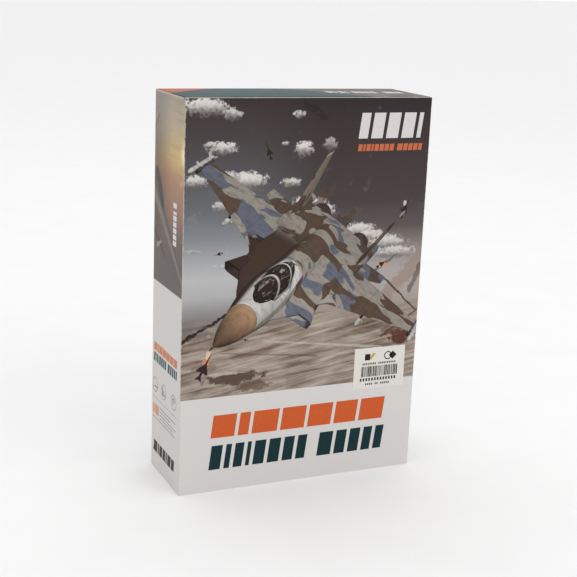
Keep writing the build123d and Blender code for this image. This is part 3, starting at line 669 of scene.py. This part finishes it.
def print_camo(m, rest):
    x, y, _ = m.split(rest)
    colour = camouflage(m, rest)
    panel = m.math("MAXIMUM", lines(m, y, 15.0, 0.22), lines(m, x, 11.0, 0.2))
    return m.mix(m.math("MULTIPLY", panel, 0.4), colour, ink(60, 54, 50))


def print_hull(m, rest):
    """Pale along the spine beside the cockpit, in deep shade to starboard and camouflaged elsewhere."""
    x, y, _ = m.split(rest)
    pale = m.mix(m.step(m.noise(rest, 0.05, 2.0, 0.5), 0.35, 0.65), ink(186, 182, 178), ink(206, 203, 200))
    pale = m.mix(m.math("MULTIPLY", lines(m, y, 13.0, 0.22), 0.35), pale, ink(70, 64, 60))
    ahead = m.math("MULTIPLY", m.step(x, -7.4, -7.0), m.step(y, 112.0, 122.0))
    colour = m.mix(ahead, camouflage(m, rest), pale)
    shaded = m.math("MULTIPLY", m.step(x, 4.6, 6.6), m.step(y, 60.0, 90.0))
    return m.mix(shaded, colour, ink(66, 52, 44))


def print_strake(m, rest):
    """Brown beside the cockpit, then blue-grey, then grey; in shade to starboard."""
    x, y, _ = m.split(rest)
    colour = m.mix(m.step(y, 119.0, 121.0), ink(158, 152, 145), ink(116, 120, 136))
    colour = m.mix(m.step(y, 134.0, 136.0), colour, ink(108, 88, 74))
    return m.mix(m.step(x, -1.0, 1.0), colour, ink(58, 46, 40))


def print_intake(m, rest):
    """Deep shade on the side away from the picture's light."""
    return m.mix(m.step(m.split(rest)[0], -2.0, 2.0), camouflage(m, rest), ink(58, 44, 38))


def print_fin(m, rest):
    patch = m.noise(rest, 0.06, 2.0, 0.5, 0.5)
    return m.mix(m.step(patch, 0.48, 0.5), ink(166, 150, 132), ink(112, 92, 78))


def print_radome(m, rest):
    y = m.split(rest)[1]
    return m.mix(m.step(y, 184.0, 222.0), ink(164, 131, 102), ink(96, 74, 58))


def print_glass(m, rest):
    streak = m.noise(m.vec("MULTIPLY", rest, (0.5, 0.12, 0.5)), 1.0, 4.0, 0.6, 1.0)
    return m.mix(m.step(streak, 0.54, 0.66), ink(44, 34, 31), ink(168, 160, 152))


def print_plain(a, b):
    return two_tone(a, b, 0.3, 4.0)


def strake(side):
    """The blended edge from beside the cockpit to the wing's root, in the jet's own frame."""
    edge = ((4.5, 170.0), (10.0, 158.0), (14.0, 146.0), (19.0, 130.0), (26.0, 112.0), (34.0, 98.0))
    verts, corners = [], []
    for x, y in edge:
        verts += [(side * x, y, 0.8), (side * 3.0, y, 4.5), (side * 0.97 * x, y, -0.8)]
    for k in range(len(edge) - 1):
        a, b = 3 * k, 3 * k + 3
        corners += [(a, b, b + 1), (a, b + 1, a + 1), (a, a + 2, b + 2), (a, b + 2, b)]
    return np.array(verts), np.array(corners)


def flat_normals(points, corners):
    """Points split so that each triangle has its own, with normals turned to the jet's upper side."""
    split = points[corners.ravel()]
    a, b, c = split[0::3], split[1::3], split[2::3]
    normal = np.cross(b - a, c - a)
    normal /= np.linalg.norm(normal, axis=1)[:, None]
    normal *= np.where(normal[:, 2] < 0, -1.0, 1.0)[:, None]
    return split, np.repeat(normal, 3, axis=0), np.arange(len(split)).reshape(-1, 3)


def printed_jet():
    """The jet as printed on the front: the toy's own shape, drawn in perspective as a thin relief."""
    groups = [
        (ink_shade("art_camouflage", print_camo), pairs("wing", "stabilator")),
        (ink_shade("art_strakes", print_strake), pairs("strake")),
        (ink_shade("art_fins", print_fin), pairs("fin")),
        (ink_shade("art_hull", print_hull), ["fuselage_upper", "fuselage_lower"]),
        (ink_shade("art_intakes", print_intake), pairs("intake")),
        (ink_shade("art_radome", print_radome), ["nose_cone", "pitot_probe"]),
        (ink_shade("art_glass", print_glass, 0.25), ["windscreen", "canopy_glass"]),
        (ink_shade("art_frame", print_plain((176, 172, 166), (196, 192, 188))), ["canopy_frame"]),
        (ink_shade("art_dark", print_plain((58, 50, 46), (84, 74, 68))), pairs("nozzle", "pylons")),
        (ink_shade("art_stores", print_plain((168, 164, 160), (206, 203, 200))),
         pairs("missile_inner", "missile_tip")),
    ]
    all_points, all_faces, all_rest, all_shade, materials, slots, base = [], [], [], [], [], [], 0
    rotate = np.array(ART_POSE)
    for index, (material, members) in enumerate(groups):
        materials.append(material)
        for name in members:
            if name.startswith("strake"):
                rest, normals, corners = flat_normals(*strake(1 if name == "strake_right" else -1))
            else:
                points, normals, corners = triangles(nodes[name], 6000)
                rest = to_jet(points)
                normals = np.stack([normals[:, 0], normals[:, 2], -normals[:, 1]], axis=1)
            # the picture's jet has narrow tailplanes set forward, a full nose section and a slim canopy
            drawn = rest.copy()
            if name.startswith("stabilator"):
                drawn *= (0.78, 1.0, 1.0)
                drawn[:, 1] += 26.0
            elif name.startswith(("fuselage", "intake", "nose", "canopy", "windscreen")):
                swell = np.interp(drawn[:, 1], (118.0, 146.0, 162.0, 190.0), (1.0, 1.3, 1.3, 1.04))
                belly = np.where(drawn[:, 2] < -1.0, np.interp(drawn[:, 1], (150.0, 184.0), (0.42, 1.0)), 1.0)
                drawn[:, 0] *= swell
                drawn[:, 2] *= swell * belly
            if name.startswith(("canopy", "windscreen")):
                drawn *= (0.80, 1.0, 1.0)
                drawn[:, 1] = 149.0 + 1.34 * (drawn[:, 1] - 150.0)
            seen = (drawn - np.array(ART_CENTRE)) @ rotate.T
            grow = ART_SCALE * ART_EYE / (ART_EYE - seen[:, 2])
            own = normals @ rotate.T
            light = np.clip(own @ np.array(ART_SUN), 0.0, 1.0)
            sky = 0.5 + 0.5 * own[:, 1]
            shade = (0.16 + 0.22 * sky + 0.70 * light) * np.interp(rest[:, 1], (20.0, 130.0), (0.78, 1.0))
            deep = seen[:, 2]
            across, up = ART_AT[0] + seen[:, 0] * grow, ART_AT[1] + seen[:, 1] * grow
            all_points.append(np.stack([across, deep, up], axis=1))
            all_faces.append(corners + base)
            all_rest.append(rest)
            all_shade.append(shade)
            slots.append(np.full(len(corners), index))
            base += len(rest)
    points, faces = np.concatenate(all_points), np.concatenate(all_faces)
    deep = points[:, 1]
    height = (deep - deep.min()) / (deep.max() - deep.min())
    points[:, 1] = FRONT_Y - 0.04 - ART_RELIEF * height
    points[:, 0] = np.clip(points[:, 0], -HALF_W + 0.2, HALF_W - 0.2)
    mesh = bpy.data.meshes.new("printed_jet")
    mesh.from_pydata(points * MM, [], faces.tolist())
    for material in materials:
        mesh.materials.append(material)
    mesh.polygons.foreach_set("material_index", np.concatenate(slots).astype(np.int32))
    place = mesh.attributes.new("jet_place", "FLOAT_VECTOR", "POINT")
    place.data.foreach_set("vector", np.concatenate(all_rest).ravel())
    tone = mesh.attributes.new("jet_shade", "FLOAT", "POINT")
    tone.data.foreach_set("value", np.concatenate(all_shade))
    mesh.update()
    made = place_object("printed_jet", mesh)
    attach(made, "carton")


def jet_outline():
    """A far-off jet from above, nose up, about one unit long."""
    half = [(0.0, 0.5), (0.035, 0.36), (0.05, 0.12), (0.34, -0.16), (0.34, -0.24), (0.07, -0.2),
            (0.07, -0.34), (0.19, -0.46), (0.19, -0.5), (0.0, -0.46)]
    return half, [(-u, v) for u, v in reversed(half[1:-1])]


def small_jet(sheet, u, v, wide, long, angle, *lift):
    """A jet's outline, turned by the angle in degrees."""
    right, left = jet_outline()
    c, s = math.cos(math.radians(angle)), math.sin(math.radians(angle))
    outline = [(a * wide, b * long) for a, b in right + left]
    sheet.polygon([(u + a * c - b * s, v + a * s + b * c) for a, b in reversed(outline)], *lift)


def far_jets():
    """Small distant jets over the front picture."""
    sheet = Sheet(on_front)
    for u, v, size, turn, squash in (
        (-31, 232, 13, 20, 0.55), (-64, 165.5, 7, 100, 0.5), (72.5, 191, 16, -25, 0.5),
        (57.5, 152.5, 11, -60, 0.5), (-43.6, 106, 5, 80, 0.5), (-71.5, 89.5, 20, -28, 0.62),
    ):
        small_jet(sheet, u, v, squash * size, size, turn)
    sheet.make("printed_far_jets", flat_ink("far_jet_ink", ink(52, 42, 40), 0.42, 0.1))


# ---- blocks of print
UPPER_ROW = (1.0, 0.45, 1.1, 1.05, 1.05, 1.0, 1.1)
LOWER_ROW = (1.0, 0.5, 0.8, 0.35, 1.0, 1.05, 0.95, 0.85, 0, 1.3, 1.0, 1.0, 0.85, 0.8)


def word_bars(sheet, u0, u1, v0, v1, widths, lean=0.12):
    """A row of plain leaning bars in place of words. A width of 0 leaves a gap."""
    high = v1 - v0
    gap, blank = 0.15 * high, 0.4 * high
    bars = [w for w in widths if w]
    free = u1 - u0 - gap * (len(bars) - 1) - blank * (len(widths) - len(bars)) - lean * high
    at = u0
    for w in widths:
        if w:
            wide = w * free / sum(bars)
            sheet.bar(at, at + wide, v0, v1, lean * high)
            at += wide + gap
        else:
            at += blank


def front_print():
    orange, teal, white, black = (
        flat_ink("orange_ink", ink(203, 92, 46)), flat_ink("teal_ink", ink(16, 50, 54)),
        flat_ink("white_ink", ink(214, 210, 207)), flat_ink("black_ink", ink(34, 32, 32)),
    )
    pale_orange = flat_ink("pale_orange_ink", ink(196, 106, 72))
    wide_row, small_row = (0.75, 0.95, 1.0, 1.0, 0.35), (1, 0.5, 1, 0.5, 1, 1, 1, 1, 0, 1.3, 1, 1, 1, 0.9)
    for name, material, u0, u1, v0, v1, widths in (
        ("title_bars_upper", orange, -66, 66, 38.5, 54.6, UPPER_ROW),
        ("title_bars_lower", teal, -67, 66.5, 15.7, 33.0, LOWER_ROW),
        ("corner_bars_white", white, 33.5, 82.5, 238.8, 255.8, wide_row),
        ("corner_bars_orange", pale_orange, 33.5, 82.5, 230.4, 235.0, small_row),
    ):
        sheet = Sheet(on_front)
        word_bars(sheet, u0, u1, v0, v1, widths)
        sheet.make(name, material)
    return orange, teal, white, black


def side_print(to_row, side, inks):
    _, _, white, black = inks
    pale_orange = flat_ink(f"side_orange_ink_{side}", ink(196, 122, 84))
    grey = flat_ink(f"side_grey_ink_{side}", ink(120, 118, 116))
    sheet = Sheet(to_row)
    word_bars(sheet, 3.4, 53.0, 87.0, 92.8, UPPER_ROW)
    sheet.make(f"side_bars_orange_{side}", pale_orange)
    sheet = Sheet(to_row)
    word_bars(sheet, 3.4, 53.0, 79.0, 85.4, LOWER_ROW)
    sheet.make(f"side_bars_teal_{side}", flat_ink(f"side_teal_ink_{side}", ink(44, 78, 80)))
    sheet = Sheet(to_row)
    for k in range(7):
        low = 168.6 + 4.15 * k
        sheet.bar(40.2, 46.8, low, low + (1.9 if k == 5 else 3.3))
    sheet.make(f"side_column_{side}", white)
    sheet = Sheet(to_row)
    for u, v in ((7.4, 62.0), (25.8, 62.0), (46.9, 62.0)):
        sheet.ring(u, v, 5.4, 0.55)
    sheet.bar(3.5, 3.5 + 0.7 + 7, 60.2, 61.2, 3.0)
    for u, top in ((22.6, 65.0), (25.2, 63.2), (27.8, 61.4)):
        sheet.bar(u, u + 1.4, 59.0, top)
    sheet.ring(46.9, 62.0, 3.0, 0.7, sweep=250)
    sheet.bar(46.5, 47.3, 61.0, 66.0)
    sheet.make(f"side_icons_{side}", grey)
    sheet = Sheet(to_row)
    sheet.bar(3.0, 54.0, 52.6, 53.0)
    for row, ends in enumerate(((18, 51), (18, 40), (18, 52), (18, 46), (3, 50))):
        v = 47.6 - 2.5 * row
        sheet.bar(ends[0], ends[1], v, v + 0.8)
    sheet.make(f"side_small_rows_{side}", flat_ink(f"side_row_ink_{side}", ink(150, 148, 146)))
    sheet = Sheet(to_row)
    for at, wide in ((3.0, 2.6), (6.4, 1.0), (8.2, 3.4), (12.2, 3.4)):
        sheet.bar(at, at + wide, 40.8, 47.8)
    sheet.make(f"side_mark_{side}", flat_ink(f"side_mark_ink_{side}", ink(206, 142, 104)))
    sheet = Sheet(to_row)
    word_bars(sheet, 5.2, 50.0, 12.8, 21.0, [1.3, 0.4, 1, 0.9, 0.4, 1.1, 0.95])
    sheet.polygon([(1.6, 13.0), (7.6, 14.2), (7.6, 15.0)])
    sheet.make(f"side_block_{side}", black)


def back_print(inks):
    orange = inks[0]
    sheet = Sheet(on_back)
    word_bars(sheet, -60, 60, 206, 220, UPPER_ROW)
    sheet.make("back_bars_orange", orange)
    sheet = Sheet(on_back)
    for col in range(3):
        for row in range(2):
            u, v = -74 + col * 52.0, 112 + row * 34.0
            sheet.bar(u, u + 44, v, v + 26)
    sheet.make("back_frames", flat_ink("frame_ink", ink(120, 124, 130), 0.4, 0.12))
    sheet = Sheet(on_back)
    for col in range(3):
        for row in range(2):
            angle = 90 + 20 * (col - 1) + 12 * row
            small_jet(sheet, -52 + col * 52.0, 125 + row * 34.0, 17.6, 22.0, angle, 0.03)
    sheet.make("back_frame_jets", flat_ink("frame_jet_ink", ink(66, 58, 54), 0.4, 0.1))
    sheet = Sheet(on_back)
    for row in range(16):
        v = 98 - 4.4 * row
        sheet.bar(-74, -74 + 60 + 8 * math.sin(row * 2.1), v, v + 1.3)
        if row < 12:
            sheet.bar(8, 8 + 54 + 9 * math.sin(row * 1.7), v, v + 1.3)
    sheet.make("back_rows", flat_ink("back_row_ink", ink(136, 134, 132)))


def price_label():
    """The price label's print: two generic marks, rows of bars and a barcode of random bars."""
    black = flat_ink("label_black", ink(40, 38, 38), 0.4)
    low_u, low_v, lift = 39.8, 61.8, 0.12
    sheet = Sheet(on_front)
    random.seed(7)
    at = low_u + 6.0
    while at < low_u + 34.5:
        wide = random.choice((0.25, 0.25, 0.5, 0.75))
        sheet.bar(at, at + wide, low_v + 8.8, low_v + 16.4, 0.0, lift)
        at += wide + random.choice((0.25, 0.35, 0.6))
    for count, u, pitch, wide, v, high, gaps in (
        (13, 5.2, 2.25, 1.25, 5.6, 7.8, ()), (19, 6.6, 1.4, 0.8, 17.6, 19.0, (8,)),
        (13, 9.6, 1.5, 0.9, 2.6, 4.0, (4, 7)),
    ):
        for k in range(count):
            if k not in gaps:
                at = low_u + u + pitch * k
                sheet.bar(at, at + wide, low_v + v, low_v + high, 0.0, lift)
    sheet.bar(low_u + 8.2, low_u + 12.4, low_v + 21.0, low_v + 25.6, 0.0, lift)
    diamond = ((27.0, 23.4), (30.2, 20.4), (33.4, 23.4), (30.2, 26.4))
    sheet.polygon([(low_u + u, low_v + v) for u, v in diamond], lift)
    sheet.ring(low_u + 26.4, low_v + 23.4, 3.0, 0.7, lift, 24)
    sheet.make("label_print", black)
    sheet = Sheet(on_front)
    flash = ((13.0, 21.0), (16.8, 25.6), (14.6, 26.2), (12.2, 23.0))
    sheet.polygon([(low_u + u, low_v + v) for u, v in flash], lift)
    sheet.make("label_mark_gold", flat_ink("label_gold", ink(196, 164, 84)))


def label_paper():
    m = Shader("label_paper", Specular_IOR_Level=0.5)
    point = m.point()
    fibre = m.noise(point, 1.8, 4.0, 0.6)
    colour = m.mix(fibre, ink(212, 208, 201), ink(220, 217, 211))
    m.set(Base_Color=colour, Roughness=m.step(fibre, 0.2, 0.8, 0.42, 0.55))
    m.bump(fibre, 0.1, 0.00005)
    return m.mat


# ---- lid
def bulged_lid(material, inks):
    """The lid's board, bowed up a little, with rounded creases."""
    low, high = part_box("lid_panel")
    low, high = low / MM, high / MM
    across, deep = 60, 24
    verts, faces = [], []

    def bow(u, v):
        lean = 0.75 + 0.25 * math.cos(3.0 * u)
        return 0.9 * math.sin(math.pi * u) ** 0.7 * math.sin(math.pi * v) ** 0.8 * lean

    for top in (1, 0):
        for j in range(deep + 1):
            for i in range(across + 1):
                u, v = i / across, j / deep
                x, y = low.x + u * (high.x - low.x), low.y + v * (high.y - low.y)
                edge = min(y - low.y, high.y - y)
                fall = 0.28 * max(0.0, 1.0 - edge / 0.8) ** 2 if top else 0.0
                z = (high.z if top else low.z) + bow(u, v) - fall
                verts.append(Vector((x, y, z)) * MM)
    row, layer = across + 1, (across + 1) * (deep + 1)
    for j in range(deep):
        for i in range(across):
            a = j * row + i
            faces.append([a, a + 1, a + 1 + row, a + row])
            b = a + layer
            faces.append([b, b + row, b + 1 + row, b + 1])
    for i in range(across):
        faces.append([i + 1, i, i + layer, i + 1 + layer])
        a = deep * row + i
        faces.append([a, a + 1, a + 1 + layer, a + layer])
    for j in range(deep):
        a = j * row
        faces.append([a, a + row, a + row + layer, a + layer])
        b = a + across
        faces.append([b + row, b, b + layer, b + row + layer])
    lid = add_object("lid_board", verts, faces, material, "lid", smooth=True)
    inner = [0.0] * layer + [1.0] * layer
    lid.data.attributes.new("inside", "FLOAT", "POINT").data.foreach_set("value", inner)
    for p in lid.data.polygons:
        p.use_smooth = abs(p.normal.z) > 0.5
    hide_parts("lid_panel")

    def on_lid(u, v, height):
        s, t = (u + HALF_W) / (2 * HALF_W), (v - low.y) / (high.y - low.y)
        return (u, v, high.z + bow(s, t) + 0.015 + height)

    sheet = Sheet(on_lid)
    for k, w in enumerate((1.0, 0.5, 0.9, 0.35, 1.0, 1.0, 1.0, 0.9, 0, 1.2, 1.0, 1.0)):
        u = 22 + 4.9 * k
        if w:
            for strip in range(4):
                sheet.bar(u, u + 3.8 * w, -6 + 2.4 * strip, -6 + 2.4 * (strip + 1))
    sheet.make("lid_bars", inks[2], "lid")


# ---- put it together
def paint(material, *names):
    for name in names:
        mesh_slots = nodes[name].material_slots
        for k in range(len(mesh_slots)):
            mesh_slots[k].link = "OBJECT"
            mesh_slots[k].material = material


def matching(word):
    return [name for name in nodes if word in name]


def paint_carton():
    paint(front_board(), "front_panel")
    paint(side_board("left_print", -1), "left_panel")
    paint(side_board("right_print", 1), "right_panel")
    paint(back_board(), "back_panel")
    paint(plain_board(), "glue_flap", "bottom_panel", "bottom_tuck_flap", "lid_tuck_flap",
          *pairs("bottom_dust_flap", "dust_flap"))
    paint(label_paper(), "price_label")


def paint_jet():
    grey = jet_paint("grey_plastic", two_tone((128, 132, 138), (150, 153, 158), 0.06))
    paint(jet_paint("camouflage_metal", camouflage, 0.15), "fuselage_upper",
          *pairs("wing", "fin", "stabilator"))
    paint(grey, "fuselage_lower", "gear_doors", *pairs("intake", "pylons"))
    paint(jet_paint("radome_plastic", radome_colour, seams=False, rough=0.36), "nose_cone")
    paint(moulded("bright_steel", (168, 168, 172), (190, 190, 194), 0.28, 0.1, 2.0, Metallic=1.0),
          "pitot_probe", "wheel_axles", "stand_pin", "fuselage_screws")
    exhaust = two_tone((58, 54, 52), (98, 88, 80), 0.15)
    paint(jet_paint("exhaust_metal", exhaust, 0.7, False, 0.38), *pairs("nozzle"))
    paint(clear("canopy_clear", (0.50, 0.56, 0.60, 1.0)), "windscreen", "canopy_glass")
    frame_tone = two_tone((112, 116, 120), (132, 136, 140))
    paint(jet_paint("canopy_frame_paint", frame_tone, seams=False), "canopy_frame")
    cockpit = moulded("cockpit_plastic", (34, 36, 38), (48, 50, 52), 0.6)
    paint(cockpit, "cockpit_tub", "seat_front", "seat_rear")
    bands = banded((206, 205, 202), (150, 60, 40), (70.0, 71.4), (86.0, 87.2))
    paint(jet_paint("missile_plastic", bands, seams=False), *matching("missile"))
    gear = moulded("gear_plastic", (168, 170, 172), (186, 188, 190), 0.42)
    paint(gear, *matching("_leg"), *matching("hub"))
    paint(tyre_rubber(), *matching("tyre"))
    paint(moulded("stand_plastic", (24, 24, 26), (34, 34, 36), 0.22, 0.05), "stand_base", "stand_arm")
    paint(moulded("tray_plastic", (214, 215, 217), (221, 222, 223), 0.34, 0.1, 0.4), "tray")
    paint(clear("clear_plastic", (0.86, 0.88, 0.90, 1.0), 0.12, 0.8), "jet_strap")


AZIMUTH, ELEVATION, ROLL = -24.55, 14.56, 2.38
AWAY, ASIDE, DROP = 3.121, 0.0021, 0.0083  # in carton heights
LENS, SENSOR = 74.4, 36.0


def camera():
    """At the photograph's viewing angle, with its slight roll."""
    az, el, roll = (math.radians(angle) for angle in (AZIMUTH, ELEVATION, ROLL))
    height = HEIGHT * MM
    back = Vector((math.sin(az) * math.cos(el), -math.cos(az) * math.cos(el), math.sin(el)))
    right = (-back).cross(Vector((0, 0, 1))).normalized()
    up = right.cross(-back).normalized()
    across = math.cos(roll) * right + math.sin(roll) * up
    over = -math.sin(roll) * right + math.cos(roll) * up
    place = Vector((0, 0, height / 2)) + back * AWAY * height
    place += across * ASIDE * height - over * DROP * height
    data = bpy.data.cameras.new("camera")
    data.lens, data.sensor_width = LENS, SENSOR
    data.clip_start, data.clip_end = 0.01, 50.0
    made = place_object("camera", data)
    made.matrix_world = Matrix((
        (across.x, over.x, back.x, place.x), (across.y, over.y, back.y, place.y),
        (across.z, over.z, back.z, place.z), (0, 0, 0, 1),
    ))
    bpy.context.scene.camera = made


def area_light(name, place, target, size, power, colour=(1.0, 1.0, 1.0)):
    data = bpy.data.lights.new(name, "AREA")
    data.shape, data.size, data.energy, data.color = "DISK", size, power, colour
    made = place_object(name, data)
    made.location = place
    made.rotation_euler = (Vector(place) - Vector(target)).to_track_quat("Z", "Y").to_euler()


def studio():
    world = bpy.data.worlds.new("studio")
    world.use_nodes = True
    world.node_tree.nodes["Background"].inputs[0].default_value = (1.0, 1.0, 1.0, 1.0)
    world.node_tree.nodes["Background"].inputs[1].default_value = 1.0
    bpy.context.scene.world = world
    area_light("key", (0.7, -1.7, 1.5), (0, 0, 0.13), 1.4, 6)
    area_light("top", (0.0, 0.6, 2.0), (0, 0, 0.1), 1.6, 3)
    bpy.context.scene.view_settings.view_transform = "Standard"
    m = Shader("floor", Specular_IOR_Level=0.2)
    point = m.point()
    grain = m.noise(point, 0.02, 4.0, 0.5)
    colour = m.mix(grain, (0.86, 0.86, 0.86, 1.0), (0.90, 0.90, 0.90, 1.0))
    m.set(Base_Color=colour, Roughness=m.step(grain, 0.2, 0.8, 0.8, 0.9))
    mesh = bpy.data.meshes.new("floor")
    reach = 30.0
    corners = [(-reach, -reach, 0), (reach, -reach, 0), (reach, reach, 0), (-reach, reach, 0)]
    mesh.from_pydata(corners, [], [(0, 1, 2, 3)])
    mesh.materials.append(m.mat)
    place_object("floor", mesh)


paint_carton()
paint_jet()
printed_inks = front_print()
side_print(on_left, "left", printed_inks)
side_print(on_right, "right", printed_inks)
back_print(printed_inks)
price_label()
far_jets()
printed_jet()
bulged_lid(lid_board(), printed_inks)
camera()
studio()
